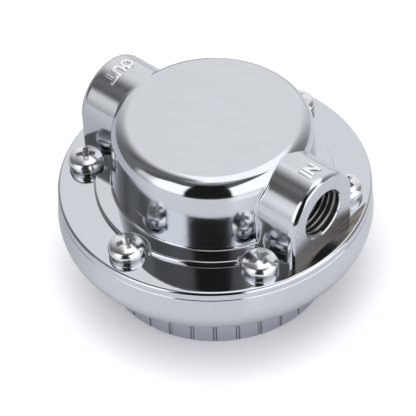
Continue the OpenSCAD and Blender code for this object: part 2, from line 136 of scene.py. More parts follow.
def ramp(value, low, high, bottom=0.0, top=1.0):
    """Smooth step of a value from bottom at low to top at high."""
    return add(value.id_data, "ShaderNodeMapRange", props={"interpolation_type": "SMOOTHSTEP"},
               s0=value, s1=low, s2=high, s3=bottom, s4=top)


def swing(angle, start, end, bottom=0.0, top=1.0):
    """Smooth step over an angle, in degrees."""
    return ramp(angle, math.radians(start), math.radians(end), bottom, top)


def along(place, direction):
    """How far a place or a direction points along another direction."""
    return add(place.id_data, "ShaderNodeVectorMath", out="Value",
               props={"operation": "DOT_PRODUCT"}, s0=place, s1=tuple(direction))


def between(share, a, b):
    """Number a where share is 0 and b where it is 1."""
    return add(share.id_data, "ShaderNodeMix", s0=share, s2=a, s3=b)


def mix(share, a, b):
    """Colour a where share is 0 and b where it is 1."""
    return add(share.id_data, "ShaderNodeMix", out=2, props={"data_type": "RGBA"},
               s0=share, s6=a, s7=b)


# %% [markdown]
# ## Studio
# A chrome part shows the room more than itself. The reflections in the picture tell what stood
# round it: a bright sheet on the left and a brighter one on the right, a dark gap between them
# where the camera stands, a dim roof, a broad sheet behind and a bright strip overhead. Real cards
# could be set up, but they would block the view from other sides, so the room is painted on the
# sky by direction. White paper lies on the table. In the chrome it shows painted shade: mirrored
# rays get a second, darker tone, as paper outside the lamp's pool would show, with more painted
# shade to the far left, painted light to the right and a painted near-black patch towards the
# camera.

# %% studio room
room = bpy.data.worlds.new("white_tent")
scene.world = room
room.use_nodes = True
tree = room.node_tree
tree.nodes.clear()
look = add(tree, "ShaderNodeTexCoord", out="Generated")
facing = Vector((math.sin(VIEW_TURN), -math.cos(VIEW_TURN), 0))
side, front, height = (along(look, axis) for axis in (level, facing, (0, 0, 1)))
turn = maths("ARCTAN2", side, front)
rear = maths("ARCTAN2", maths("MULTIPLY", side, -1.0), maths("MULTIPLY", front, -1.0))
print("room turned", round(math.degrees(VIEW_TURN), 1), "degrees, to the camera")

# %% front sheets and the gap between them
# Angles are degrees round from the camera and heights the sine of the elevation. Each pair of
# them is the start and the end of a soft edge, and a second pair the brightness at both.
LEFT_GLOW, RIGHT_GLOW = 1.52, 1.56
ROOF_GLOW, GAP_GLOW = (0.13, 0.60), (0.015, 0.42)
RIGHT_SLANT = level * 1.717 + facing * 0.837 - Vector((0, 0, 1))

roof = ramp(height, 0.93, 1.0, *ROOF_GLOW)
left_sheet = between(swing(turn, -76, -62), swing(turn, -90, -82, 0.34, 0.88), LEFT_GLOW)
left_top = maths("ADD", height, swing(turn, -55, -84, 0.0, 0.19))
left_sheet = between(ramp(left_top, swing(turn, -60, -84, 0.755, 0.60), 0.81), left_sheet, roof)
left_foot = maths("ADD", ramp(height, 0.0, 0.35, 0.62, 1.0), swing(turn, -68, -55, 0.0, 0.38))
left_sheet = both(left_sheet, maths("MINIMUM", left_foot, 1.0))
right_top = along(look, RIGHT_SLANT)
right_sheet = between(ramp(right_top, 0.13, 0.25), roof, RIGHT_GLOW)
fronts = between(ramp(side, -0.1, 0.1), left_sheet, right_sheet)
gap = both(swing(turn, -33, -30), swing(turn, 18, 15))
fronts = between(gap, fronts, ramp(height, 0.90, 1.0, *GAP_GLOW))
print("front sheets", len(tree.nodes), "nodes")

# %% back sheet and the strip overhead
CORNER_GLOW, STRIP_GLOW = 0.13, 1.47
backs = both(swing(rear, 62, 8, 0.20, 1.0), swing(rear, -76, -25, 0.25, 1.0))
glow = between(ramp(front, 0.03, -0.03), fronts, backs)
corner = both(swing(turn, -122, -114), swing(turn, -106, -114), ramp(height, 0.45, 0.62))
glow = between(corner, glow, CORNER_GLOW)
strip = both(ramp(side, -0.17, -0.06), ramp(front, 0.11, 0.0), ramp(front, -0.64, -0.50),
             ramp(height, 0.72, 0.84))
glow = between(strip, glow, STRIP_GLOW)
sky = add(tree, "ShaderNodeBackground", Color=(0.985, 0.99, 1.0, 1), Strength=glow)
tree.links.new(sky, tree.nodes.new("ShaderNodeOutputWorld").inputs["Surface"])
print("room nodes", len(tree.nodes))

# %% floor
FLOOR_R = 6.0
floor_mesh = bpy.data.meshes.new("studio_floor")
shape = bmesh.new()
bmesh.ops.create_circle(shape, cap_ends=True, segments=96, radius=FLOOR_R)
shape.to_mesh(floor_mesh)
shape.free()
studio_floor = linked("studio_floor", floor_mesh)
print("floor", 2 * FLOOR_R, "m across")

# %% white paper
paper = bpy.data.materials.new("white_paper")
paper.use_nodes = True
tree = paper.node_tree
place = add(tree, "ShaderNodeTexCoord", out="Object")
fibres = add(tree, "ShaderNodeTexNoise", Vector=place, Scale=900.0, Detail=3.0)
fibres = ramp(fibres, 0.35, 0.65)
tone = mix(fibres, (0.945, 0.95, 0.965, 1), (0.955, 0.96, 0.975, 1))
# painted shade: glossy rays see the paper darker than the camera does
mirrored = mix(fibres, (0.62, 0.63, 0.655, 1), (0.63, 0.64, 0.665, 1))
ahead, aside = along(place, facing), along(place, level)
bearing = maths("ARCTAN2", aside, ahead)
# painted shade to the far left, painted light to the right and a painted near-black patch in front,
# towards the camera
painted_shade_far_left = swing(bearing, -50, -100)
lit_side = both(swing(bearing, 8, 20), ramp(ahead, 0.05, 0.10))
painted_dark_front = both(ramp(ahead, 0.19, 0.30), swing(bearing, -34, -28), swing(bearing, 20, 14))
for area, shade in ((painted_shade_far_left, (0.44, 0.45, 0.475, 1)), (lit_side, (0.90, 0.90, 0.91, 1)),
                    (painted_dark_front, (0.02, 0.02, 0.02, 1))):
    mirrored = mix(area, mirrored, shade)
tone = mix(add(tree, "ShaderNodeLightPath", out="Is Glossy Ray"), tone, mirrored)
surface = tree.nodes["Principled BSDF"]
tree.links.new(tone, surface.inputs["Base Color"])
surface.inputs["Roughness"].default_value = 0.9
surface.inputs["Specular IOR Level"].default_value = 0.1
floor_mesh.materials.append(paper)
print("paper", len(tree.nodes), "nodes")

# %% lamp over the floor
lamp = bpy.data.lights.new("floor_lamp", "AREA")
lamp.shape, lamp.size, lamp.energy = "DISK", 1.6, 11.3
floor_lamp = linked("floor_lamp", lamp)
floor_lamp.location = (-0.15, -0.35, 1.0)
floor_lamp.visible_glossy = floor_lamp.visible_camera = False
print("lamp", round(lamp.energy, 1), "W")

# %% [markdown]
# ## Finishes: shared effects
# Five effects come back on the pieces: the faint waves that a buffing wheel leaves, the grain of a
# casting, the fine rings of a lathe, the straight lines of a cutter or a belt, and painted shadow
# lines along the edges of the dial's flutes. Each could be copied into every material, but a node
# group is built once and placed with its own values. A group only puts out masks and heights.


# %% effect groups
def effect(name, **inputs):
    """New shader node group with number inputs. Returns it, the place on a piece and the inputs."""
    group = bpy.data.node_groups.new(name, "ShaderNodeTree")
    for label, value in inputs.items():
        socket = group.interface.new_socket(label, in_out="INPUT", socket_type="NodeSocketFloat")
        socket.default_value = value
    place = add(group, "ShaderNodeTexCoord", out="Object")
    return group, place, group.nodes.new("NodeGroupInput").outputs


def put_out(group, **outputs):
    """Ends a group with named number outputs."""
    for label in outputs:
        group.interface.new_socket(label, in_out="OUTPUT", socket_type="NodeSocketFloat")
    result = group.nodes.new("NodeGroupOutput").inputs
    for label, value in outputs.items():
        group.links.new(value, result[label])
    print(group.name, len(group.nodes), "nodes")


# %% buffing waves
buffing, place, given = effect("buffing_waves", Wave=90.0, Haze=700.0)
waves = add(buffing, "ShaderNodeTexNoise", Vector=place, Scale=given["Wave"], Detail=1.0)
smear = add(buffing, "ShaderNodeMapping", Vector=place, Rotation=(0.3, 0.2, 0.7),
            Scale=(1.0, 0.15, 1.0))
streak = add(buffing, "ShaderNodeTexNoise", Vector=smear, Scale=given["Haze"], Detail=4.0,
             Roughness=0.6)
put_out(buffing, Height=waves, Haze=ramp(streak, 0.4, 0.75))

# %% casting grain
casting, place, given = effect("casting_grain", Scale=2500.0)
grain = add(casting, "ShaderNodeTexNoise", Vector=place, Scale=given["Scale"], Detail=5.0,
            Roughness=0.65)
cloud = add(casting, "ShaderNodeTexNoise", Vector=place, Scale=160.0, Detail=2.0)
tone = maths("ADD", maths("MULTIPLY", grain, 0.6), maths("MULTIPLY", cloud, 0.4))
put_out(casting, Height=grain, Tone=tone)

# %% lathe rings
rings, place, given = effect("lathe_rings", Pitch=0.0004)
flat = add(rings, "ShaderNodeVectorMath", props={"operation": "MULTIPLY"}, s0=place,
           s1=(1.0, 1.0, 0.0))
radius = add(rings, "ShaderNodeVectorMath", out="Value", props={"operation": "LENGTH"}, s0=flat)
wave = maths("SINE", maths("MULTIPLY", maths("DIVIDE", radius, given["Pitch"]), math.tau))
broad = maths("DIVIDE", radius, maths("MULTIPLY", given["Pitch"], 2.3))
coarse = add(rings, "ShaderNodeTexNoise", props={"noise_dimensions": "1D"}, W=broad, Detail=3.0)
put_out(rings, Height=wave, Tone=coarse)

# %% milling lines
milling, place, given = effect("milling_lines", Lines=5000.0, Turn=0.0)
drawn = add(milling, "ShaderNodeMapping", props={"vector_type": "TEXTURE"}, Vector=place,
            Rotation=add(milling, "ShaderNodeCombineXYZ", Z=given["Turn"]), Scale=(1.0, 33.0, 1.0))
lines = add(milling, "ShaderNodeTexNoise", Vector=drawn, Scale=given["Lines"], Detail=3.0,
            Roughness=0.6)
put_out(milling, Height=lines, Tone=ramp(lines, 0.3, 0.7))

# %% painted shadow lines in the flutes
flutes, place, given = effect("painted_flute_shadow", Count=32.0, Turn=0.0, Radius=0.0283, Apart=0.0003,
                              Width=0.0002)
spot = add(flutes, "ShaderNodeSeparateXYZ", Vector=place).node.outputs
around = maths("SUBTRACT", maths("ARCTAN2", spot["Y"], spot["X"]), given["Turn"])
pitch = maths("DIVIDE", math.tau, given["Count"])
off_middle = maths("WRAP", around, maths("MULTIPLY", pitch, 0.5), maths("MULTIPLY", pitch, -0.5))
off_flute = maths("MULTIPLY", given["Radius"], maths("ABSOLUTE", off_middle))
off_line = maths("ABSOLUTE", maths("SUBTRACT", off_flute, given["Apart"]))
put_out(flutes, Shade=ramp(off_line, given["Width"], 0.0))

# %% [markdown]
# ## Finishes: metals and rubber
# The housings are chrome plated. Their sides are polished. On the turret's wall and on the bosses
# the marks of the polish run up and down, which blurs a mirror image sideways. The flat top is
# brushed by a belt and the port faces are milled. On the flange outside the inlet face a dark brown
# streaky patch is a painted reflection. The screws are bright zinc, the dial a satin casting. All
# are one Principled
# shader each. What is the same all over sits on the shader's own sockets, and what changes over the
# surface comes from an effect: colour from a mix of two near tones, roughness from a mask, and a
# height for the bump.


# %% finish maker
def use(tree, group, **values):
    """Places an effect group with its own values and returns its outputs."""
    node = tree.nodes.new("ShaderNodeGroup")
    node.node_tree = group
    for label, value in values.items():
        node.inputs[label].default_value = value
    return node.outputs


def finish(name, group, tones, rough, bump, metallic=1.0, **values):
    """Principled material: two tones, a roughness range and a bump from one effect group."""
    material = bpy.data.materials.new(name)
    material.use_nodes = True
    tree = material.node_tree
    shader = tree.nodes["Principled BSDF"].inputs
    shader["Metallic"].default_value = metallic
    marks = use(tree, group, **values)
    mask = marks[-1]  # the last output says where the second tone is
    tree.links.new(mix(mask, tones[0] + (1,), tones[1] + (1,)), shader["Base Color"])
    tree.links.new(ramp(mask, 0.0, 1.0, *rough), shader["Roughness"])
    tree.links.new(add(tree, "ShaderNodeBump", Strength=1.0, Distance=bump,
                       Height=marks["Height"]), shader["Normal"])
    return material


def cover(material, label, share, top):
    """Lays a colour or a number over what feeds a shader's socket, where share is 1."""
    socket = material.node_tree.nodes["Principled BSDF"].inputs[label]
    below = socket.links[0].from_socket
    join = mix if label == "Base Color" else between
    material.node_tree.links.new(join(share, below, top), socket)


# %% chrome finishes
PLATE = (0.635, 0.652, 0.684), (0.625, 0.642, 0.674)
chrome = finish("chrome_plate", buffing, PLATE, (0.07, 0.10), 4e-6)
wall_chrome = finish("wall_chrome", buffing, PLATE, (0.11, 0.14), 4e-6)
turned_chrome = finish("turned_chrome", rings, ((0.63, 0.65, 0.686), (0.61, 0.63, 0.665)),
                       (0.04, 0.05), 1e-7, Pitch=0.0005)
brushed = finish("brushed_chrome", milling, ((0.653, 0.670, 0.702), (0.643, 0.660, 0.692)),
                 (0.36, 0.44), 2e-7, Lines=2200.0, Turn=VIEW_TURN - math.pi / 2)
milled = finish("milled_chrome", milling, ((0.62, 0.64, 0.675), (0.57, 0.59, 0.62)),
                (0.24, 0.30), 1.5e-6)
# painted highlight: the letters' chrome is much brighter than the plate round them
letter_highlight_chrome = finish("painted_highlight_chrome", buffing, ((0.88, 0.89, 0.91), (0.82, 0.83, 0.85)),
                (0.20, 0.28), 2e-6)
for material, sideways in ((turned_chrome, 0.75), (wall_chrome, 0.8)):
    tree = material.node_tree
    shader = tree.nodes["Principled BSDF"].inputs
    shader["Anisotropic"].default_value = sideways
    around_z = add(tree, "ShaderNodeTangent", props={"direction_type": "RADIAL", "axis": "Z"})
    tree.links.new(around_z, shader["Tangent"])
    print(material.name, "blurs sideways by", sideways)

# %% painted dark brown reflection on the flange
# painted reflection: a dark brown streaky patch on the turned flange outside the inlet face,
# rougher there
PAINTED_REFLECTION_X, PAINTED_REFLECTION_ROUGH = (0.0331, 0.0335), 0.20
tree = turned_chrome.node_tree
place = add(tree, "ShaderNodeTexCoord", out="Object")
painted_reflection = ramp(add(tree, "ShaderNodeSeparateXYZ", out="X", Vector=place), *PAINTED_REFLECTION_X)
lines = use(tree, milling, Lines=2600.0)
painted_reflection_tone = mix(lines["Tone"], (0.13, 0.117, 0.103, 1), (0.34, 0.315, 0.285, 1))
cover(turned_chrome, "Base Color", painted_reflection, painted_reflection_tone)
cover(turned_chrome, "Roughness", painted_reflection, PAINTED_REFLECTION_ROUGH)
print("track outside x", round(PAINTED_REFLECTION_X[0] / MM, 1), "mm")

# %% other finishes
FLUTE_TURN = math.radians(-5.8)
bright_zinc = finish("bright_zinc", buffing, ((0.78, 0.79, 0.80), (0.70, 0.71, 0.73)),
                     (0.16, 0.24), 4e-6, Wave=500.0, Haze=1500.0)
# painted shade: the recess's second tone is darker than the head's
recess_zinc_painted_shade = finish("recess_zinc_painted_shade", buffing, ((0.76, 0.77, 0.78), (0.60, 0.61, 0.62)),
                     (0.28, 0.40), 4e-6, Wave=900.0, Haze=2000.0)
satin = finish("satin_casting", casting, ((0.54, 0.56, 0.62), (0.66, 0.68, 0.74)),
               (0.42, 0.30), 8e-6)
fluted = finish("fluted_casting", casting, ((0.61, 0.62, 0.69), (0.74, 0.75, 0.82)),
                (0.42, 0.30), 8e-6)
# painted shade: dark lines along both edges of every flute on the dial
lines = use(fluted.node_tree, flutes, Turn=FLUTE_TURN)
cover(fluted, "Base Color", lines["Shade"], (0.16, 0.165, 0.19, 1))
bare = finish("bare_casting", casting, ((0.38, 0.38, 0.37), (0.50, 0.50, 0.48)),
              (0.55, 0.40), 2e-5)
# painted shade: the threads and the bore walls get a dark metal, for the shade inside the ports
bore_metal_painted_dark = finish("cut_thread_painted_shade", rings, ((0.22, 0.22, 0.215), (0.31, 0.31, 0.305)),
                      (0.26, 0.36), 1e-6)
rubber = finish("black_rubber", casting, ((0.012, 0.012, 0.013), (0.03, 0.03, 0.031)),
                (0.75, 0.55), 1e-5, metallic=0.0, Scale=1800.0)
zinc = finish("zinc_steel", rings, ((0.55, 0.56, 0.56), (0.66, 0.66, 0.64)),
              (0.22, 0.38), 1.5e-6, Pitch=0.0006)
brass = finish("turned_brass", rings, ((0.60, 0.42, 0.17), (0.72, 0.53, 0.25)),
               (0.18, 0.34), 1.5e-6)
spring_steel = finish("drawn_wire", buffing, ((0.36, 0.36, 0.37), (0.24, 0.24, 0.25)),
                      (0.22, 0.40), 2e-6, Wave=900.0, Haze=2500.0)
dark_steel = finish("blued_spring_steel", buffing, ((0.07, 0.075, 0.09), (0.13, 0.13, 0.14)),
                    (0.30, 0.48), 3e-6, Wave=400.0, Haze=1800.0)
print("dark lines in the flutes turned", round(math.degrees(FLUTE_TURN), 1), "degrees")

# %% dress the solids
FINISHED = ((chrome, ("top_housing", "lower_housing")), (bright_zinc, ("cover_screws",)),
            (fluted, ("dial",)), (bare, ("spring_seat",)),
            (rubber, ("diaphragm", "seat_ring", "valve_disc")),
            (zinc, ("upper_plate", "lower_plate", "centre_rivet", "adjusting_screw",
                    "thrust_washer")),
            (brass, ("valve_seat", "poppet")),
            (spring_steel, ("poppet_spring", "main_spring", "stop_pin")),
            (dark_steel, ("dial_clip", "detent_washer")))
for material, names in FINISHED:
    for name in names:
        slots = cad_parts[name].data.materials
        slots.clear()
        slots.append(material)
print("solids dressed", sum(len(names) for _, names in FINISHED))

# %% [markdown]
# ## Shapes with exact normals
# Polished chrome shows every wrong normal as a kink in a reflection. A Boolean leaves thin
# triangles along its cuts, and averaged normals go wrong there. So each surface is noted as it is
# made, as a straight or round line turned about an axis, or as a plane. After the cuts, every
# face corner gets the true normal of the surface that it lies on. The flange and the plinth are
# level in the CAD solid, but the wall mirrored in them shows that a casting falls away a little
# outwards, so their normals lean by two degrees and the shape stays.


# %% turned shapes
surfaces = []
ON_AXIS, SAME = 1e-9, 1e-6  # radius of a point on the axis, and gap between equal points, in mm


def note(origin, axis, kind, *sizes):
    """Notes one surface: a line or an arc turned about an axis, or a plane square to the axis."""
    surfaces.append((np.array(origin, float), np.array(axis, float), kind, sizes))


def trace(parts, step=6.0):
    """Points of a profile: corners (r, h), and arcs (r, h, radius, from, to) in degrees."""
    points = []
    for part in parts:
        if len(part) == 2:
            points.append(part)
            continue
        r, h, radius, start, end = part
        count = max(2, math.ceil(abs(end - start) / step))
        for i in range(count + 1):
            a = math.radians(start + (end - start) * i / count)
            points.append((r + radius * math.cos(a), h + radius * math.sin(a)))
    return points


def placed(name, shape):
    """Object with the bmesh's shape, faces outward, linked to the scene."""
    bmesh.ops.remove_doubles(shape, verts=shape.verts, dist=SAME)
    bmesh.ops.recalc_face_normals(shape, faces=shape.faces)
    mesh = bpy.data.meshes.new(name)
    shape.to_mesh(mesh)
    shape.free()
    return linked(name, mesh)


def turned(name, parts, origin=(0, 0, 0), axis=(0, 0, 1), steps=96, step=6.0):
    """Closed profile turned about an axis, in millimetres. Its surfaces are noted."""
    points = trace(parts, step)
    axis = Vector(axis).normalized()
    across = axis.orthogonal().normalized()
    third = axis.cross(across)
    shape = bmesh.new()
    rows = []
    for r, h in points:
        base = Vector(origin) + axis * h
        if r < ON_AXIS:
            rows.append([shape.verts.new(base)])
        else:
            rows.append([shape.verts.new(base + r * (across * math.cos(math.tau * i / steps)
                                                     + third * math.sin(math.tau * i / steps)))
                         for i in range(steps)])
    for low, high in zip(rows, rows[1:]):
        for i in range(steps):
            j = (i + 1) % steps
            corners = dict.fromkeys((low[i % len(low)], low[j % len(low)],
                                     high[j % len(high)], high[i % len(high)]))
            if len(corners) > 2:
                shape.faces.new(tuple(corners))
    ends = []
    for part in parts:
        if len(part) == 2:
            ends.append((part, part))
        else:
            note(origin, axis, "arc", *part[:3])
            run = trace([part])
            ends.append((run[0], run[-1]))
    for (_, p), (q, _) in zip(ends, ends[1:]):
        if math.dist(p, q) > SAME and max(p[0], q[0]) > ON_AXIS:
            note(origin, axis, "line", p, q)
    return placed(name, shape)


# %% cuts
def plain_mesh(thing):
    """Mesh of an object as its modifiers leave it."""
    view = bpy.context.evaluated_depsgraph_get()
    return bpy.data.meshes.new_from_object(thing.evaluated_get(view))


def carve(base, *tools):
    """Applies (operation, tool) pairs to base with the Boolean modifier and removes the tools."""
    for operation, tool in tools:
        step = base.modifiers.new(operation.lower(), "BOOLEAN")
        step.operation, step.solver, step.object = operation, "MANIFOLD", tool
    mesh = plain_mesh(base)
    base.modifiers.clear()
    base.data = mesh
    for _, tool in tools:
        bpy.data.objects.remove(tool)


# %% true normals
LEVEL, AT_HEIGHT = 0.999, 0.01  # upward part of a level normal, and how near its height in mm


def exact_normals(mesh, cones=(), lean=0.0, near=0.05, alike=0.94):
    """Gives every face corner the normal of the noted surface that its face lies on.

    A face lies on a surface if it is near it, in mm, and its flat normal is alike, as a cosine.
    Level faces at the heights in cones lean outwards, as a shallow cone does."""
    co = np.empty(len(mesh.vertices) * 3)
    mesh.vertices.foreach_get("co", co)
    co = co.reshape(-1, 3)
    corner = np.empty(len(mesh.loops), int)
    mesh.loops.foreach_get("vertex_index", corner)
    start = np.empty(len(mesh.polygons), int)
    mesh.polygons.foreach_get("loop_start", start)
    flat = np.empty(len(mesh.polygons) * 3)
    mesh.polygons.foreach_get("normal", flat)
    total = np.diff(np.append(start, len(corner)))
    face = np.repeat(np.arange(len(start)), total)
    flat = flat.reshape(-1, 3)[face]
    normal, best = flat.copy(), np.full(len(start), near)
    for origin, axis, kind, sizes in surfaces:
        offset = co - origin
        h = offset @ axis
        out = offset - h[:, None] * axis
        r = np.linalg.norm(out, axis=1)
        out = out / np.maximum(r, ON_AXIS)[:, None]
        if kind == "arc":
            dr, dh = r - sizes[0], h - sizes[1]
            far = np.maximum(np.hypot(dr, dh), ON_AXIS)
            miss, nr, nh = abs(far - sizes[2]), dr / far, dh / far
        elif kind == "line":
            (r0, h0), (r1, h1) = sizes
            size = math.hypot(r1 - r0, h1 - h0)
            nr, nh = np.full(len(r), (h1 - h0) / size), np.full(len(r), (r0 - r1) / size)
            miss = abs((r - r0) * nr + (h - h0) * nh)
        else:
            miss, nr, nh = abs(h), np.zeros(len(r)), np.ones(len(r))
        true = (out * nr[:, None] + nh[:, None] * axis)[corner]
        agree = (true * flat).sum(1)
        sign = np.sign(np.add.reduceat(agree, start))
        good = np.minimum.reduceat(abs(agree), start) > alike
        worst = np.maximum.reduceat(miss[corner], start)
        good &= worst < best
        best[good] = worst[good]
        chosen = good[face]
        normal[chosen] = true[chosen] * sign[face][chosen][:, None]
    spot = co[corner]
    for z in cones:
        on = (abs(spot[:, 2] - z) < AT_HEIGHT) & (normal[:, 2] > LEVEL)
        out = spot[on][:, :2] / np.linalg.norm(spot[on][:, :2], axis=1)[:, None]
        normal[on] = np.column_stack((out * math.sin(lean), np.full(len(out), math.cos(lean))))
    mesh.polygons.foreach_set("use_smooth", np.ones(len(start), bool))
    mesh.normals_split_custom_set(normal.tolist())
    return float((best < near).mean())


# %% [markdown]
# ## Top housing
# The upper casting carries everything that is seen from above: a flange, a stepped plinth with a
# scallop round each screw, a round turret and a boss for each port. It could be left as the CAD
# solid, but its reflections need finer facets. The outside is turned or lofted at high resolution,
# and the same chambers, drillings and screw holes as in the CAD solid are carved out of it.

# %% sizes of the top housing
SEAM_Z, FLANGE_Z, PLINTH_Z, TOP_Z, PORT_Z = 25.25, 27.45, 28.50, 47.65, 36.45
SEAM_R, PLINTH_R, TURRET_R, FACE_X, BOSS_R = 38.0, 29.2, 24.8, 33.4, 10.9
EDGE, PLINTH_EDGE, TOP_ROUND, FOOT_ROUND, DRAFT = 0.8, 0.7, 4.7, 0.6, 2.5
BOSS_ROUND, BOSS_EDGE = 2.4, 1.6
SCREW_R, RELIEF_R, SCREW_HOLE_R = 31.7, 5.05, 2.6
PORT_R, PORT_DEPTH, MOUTH = 6.25, 11.6, 0.25
ROOF, WELL_ROOF, TOWER_Z, FOOT_SUNK = 4.2, 3.4, 30.4, 0.01
HOLLOW_Z, WELL_Z = TOP_Z - ROOF, TOP_Z - WELL_ROOF
CONE = 2.0
SCREW_TURNS = (-150, -90, -30, 30, 90, 150)
UP = (0, 0, 1)
tilt = math.radians(DRAFT)
arc_z = TOP_Z - TOP_ROUND
arc_r = TURRET_R - (arc_z - PLINTH_Z) * math.tan(tilt) - TOP_ROUND / math.cos(tilt)
foot_z = PLINTH_Z - FOOT_SUNK + FOOT_ROUND
foot_r = TURRET_R + (FOOT_ROUND - (foot_z - PLINTH_Z) * math.sin(tilt)) / math.cos(tilt)
print("turret's shoulder turns about r", round(arc_r, 2), "z", round(arc_z, 2))

# %% flange and turret
SEAM_BREAK, TURRET_SUNK = 0.15, 0.5
top_cover = turned("top_cover", [
    (0, SEAM_Z), (SEAM_R - SEAM_BREAK, SEAM_Z), (SEAM_R, SEAM_Z + SEAM_BREAK),
    (SEAM_R - EDGE, FLANGE_Z - EDGE, EDGE, 0, 90), (0, FLANGE_Z)], steps=288)
turret = turned("turret", [
    (0, FLANGE_Z - TURRET_SUNK), (foot_r, FLANGE_Z - TURRET_SUNK),
    (foot_r, foot_z, FOOT_ROUND, 270, 180 + DRAFT),
    (arc_r, arc_z, TOP_ROUND, DRAFT, 90), (0, TOP_Z)], steps=288, step=4.0)
print("flange and turret", len(surfaces), "surfaces noted")


# %% lofted shapes
def loft(name, sections):
    """Closed shape through sections of equal point count, capped at both ends."""
    shape = bmesh.new()
    rows = [[shape.verts.new(p) for p in section] for section in sections]
    for low, high in zip(rows, rows[1:]):
        for i in range(len(low)):
            j = (i + 1) % len(low)
            shape.faces.new((low[i], low[j], high[j], high[i]))
    shape.faces.new(rows[0])
    shape.faces.new(rows[-1])
    return placed(name, shape)


def round_edge(size, count=8, rise=None):
    """(inset, rise) pairs of a round edge, which may be cut off at a rise below its radius."""
    end = math.asin((rise or size) / size)
    return [(size * (1 - math.cos(end * i / count)), size * math.sin(end * i / count))
            for i in range(count + 1)]


# %% plinth
PLINTH_SUNK, BITE_STEPS, RIM_STEPS = 0.7, 24, 36


def plinth_outline(inset, z):
    """Disc outline with a scallop round each screw, moved inwards by inset."""
    disc, bite = PLINTH_R - inset, RELIEF_R + inset
    half = math.acos((disc ** 2 + SCREW_R ** 2 - bite ** 2) / (2 * disc * SCREW_R))
    open_turn = math.atan2(disc * math.sin(half), disc * math.cos(half) - SCREW_R)
    points = []
    for a in map(math.radians, SCREW_TURNS):
        for i in range(BITE_STEPS + 1):
            b = (math.tau - open_turn) + (2 * open_turn - math.tau) * i / BITE_STEPS
            x, y = SCREW_R + bite * math.cos(b), bite * math.sin(b)
            points.append((x * math.cos(a) - y * math.sin(a), x * math.sin(a) + y * math.cos(a), z))
        for i in range(1, RIM_STEPS):
            b = a + half + (math.tau / len(SCREW_TURNS) - 2 * half) * i / RIM_STEPS
            points.append((disc * math.cos(b), disc * math.sin(b), z))
    return points


plinth = loft("plinth", [plinth_outline(0, FLANGE_Z - PLINTH_SUNK)] + [
    plinth_outline(inset, PLINTH_Z - PLINTH_EDGE + up) for inset, up in round_edge(PLINTH_EDGE)])
note((0, 0, 0), UP, "line", (PLINTH_R, 0), (PLINTH_R, 1))
note((0, 0, 0), UP, "arc", PLINTH_R - PLINTH_EDGE, PLINTH_Z - PLINTH_EDGE, PLINTH_EDGE)
note((0, 0, PLINTH_Z), UP, "plane")
screw_spots = [(SCREW_R * math.cos(math.radians(a)), SCREW_R * math.sin(math.radians(a)), 0)
               for a in SCREW_TURNS]
for spot in screw_spots:
    note(spot, UP, "line", (RELIEF_R, 0), (RELIEF_R, 1))
    note(spot, UP, "arc", RELIEF_R + PLINTH_EDGE, PLINTH_Z - PLINTH_EDGE, PLINTH_EDGE)
print("plinth", len(plinth.data.polygons), "faces")


# %% port bosses
BOSS_SUNK, BOSS_FROM, LEG_BREAK, ARCH_STEPS = 0.8, 8.0, 4.0, 64


def boss_section(side, x, inset):
    """Arch on straight legs, square to X, moved inwards by inset."""
    half = BOSS_R - inset
    arch = [(-half * math.cos(math.pi * i / ARCH_STEPS),
             PORT_Z + half * math.sin(math.pi * i / ARCH_STEPS)) for i in range(ARCH_STEPS + 1)]
    heights = FLANGE_Z - BOSS_SUNK, PORT_Z - LEG_BREAK
    outline = [(-half, z) for z in heights] + arch + [(half, z) for z in reversed(heights)]
    return [(side * x, y, z) for y, z in outline]


def boss(side):
    """One port boss with a round edge that its machined face cuts off."""
    sections = [boss_section(side, BOSS_FROM, 0)]
    sections += [boss_section(side, FACE_X - BOSS_EDGE + up, inset)
                 for inset, up in round_edge(BOSS_ROUND, 12, BOSS_EDGE)]
    axis, edge_x, edge_y = (side, 0, 0), side * (FACE_X - BOSS_EDGE), BOSS_R - BOSS_ROUND
    note((0, 0, PORT_Z), axis, "line", (BOSS_R, 0), (BOSS_R, 1))
    note((0, 0, PORT_Z), axis, "arc", edge_y, FACE_X - BOSS_EDGE, BOSS_ROUND)
    note((side * FACE_X, 0, 0), axis, "plane")
    for y in (-1, 1):
        note((0, y * BOSS_R, 0), (0, 1, 0), "plane")
        note((edge_x, y * edge_y, 0), UP, "line", (BOSS_ROUND, 0), (BOSS_ROUND, 1))
    return loft("boss", sections)


# %% cutters of the top housing
CHAMBER_R, CHAMBER_Z, CHAMBER_TOP, HOLLOW_R = 25.0, 24.25, 26.6, 21.0
TOWER_R, WELL_R, BRIDGE_R, BRIDGE_LONG = 9.5, 6.6, 5.8, 21.8
INLET_R, INLET_LONG, OUTLET_R, OUTLET_LONG, OUTLET_X = 3.6, 22.8, 5.4, 5.8, -22.8
COVER_HOLE, SHEET_HOLE = 4.2, 3.0
PAST = 1.0  # how far a cutter runs past the face that it opens


def rod(r, length, origin, axis=UP, steps=96):
    """Plain round cutter."""
    return turned("rod", [(0, 0), (r, 0), (r, length), (0, length)], origin, axis, steps)


def bore(side):
    """Threaded bore of a port with its chamfered mouth."""
    return turned("bore", [(0, 0), (PORT_R, 0), (PORT_R, PORT_DEPTH - MOUTH),
                           (PORT_R + MOUTH + PAST, PORT_DEPTH + PAST), (0, PORT_DEPTH + PAST)],
                  (side * (FACE_X - PORT_DEPTH), 0, PORT_Z), (side, 0, 0), 128)


def screw_holes(low, length):
    """Cuts for the six cover screws, upwards from low."""
    return [("DIFFERENCE", rod(SCREW_HOLE_R, length, (x, y, low), steps=48))
            for x, y, _ in screw_spots]


